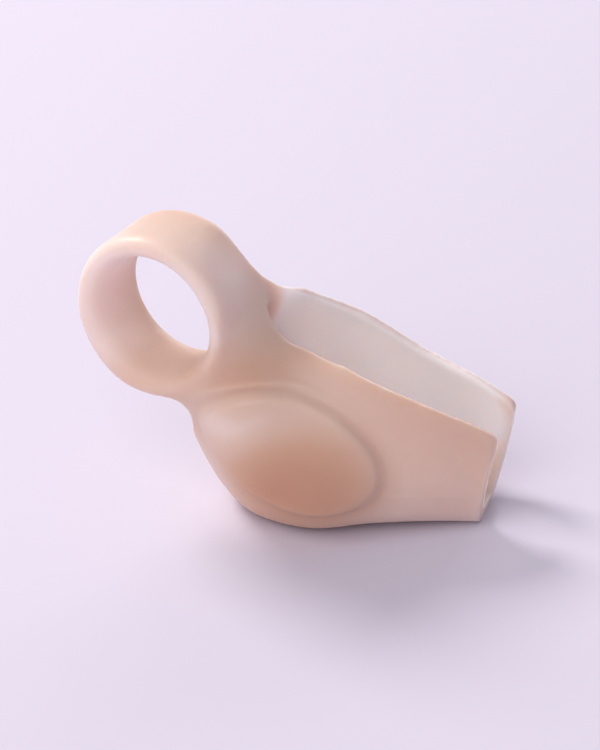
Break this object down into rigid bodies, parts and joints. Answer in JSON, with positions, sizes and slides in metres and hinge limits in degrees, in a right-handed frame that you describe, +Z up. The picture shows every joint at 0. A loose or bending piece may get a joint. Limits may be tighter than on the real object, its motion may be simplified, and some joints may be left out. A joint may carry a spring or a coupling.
{
  "type": "gel bunion protector",
  "caption": "Soft translucent gel bunion protector: a toe loop joined through a neck to an open shield with a raised oval pad.",
  "frame": {"origin": "bottom centre of the bounding box, on the surface that the protector lies on", "axes": "+X from the toe loop towards the open end of the shield, -Y towards the wall with the oval pad, +Z up"},
  "size_m": [0.089, 0.0406, 0.0624],
  "materials": {
    "gel": "translucent skin-tinted gel, smooth and slightly tacky, soft gloss"
  },
  "bodies": {
    "root": {"gel_body": "gel"}
  },
  "joints": []
}
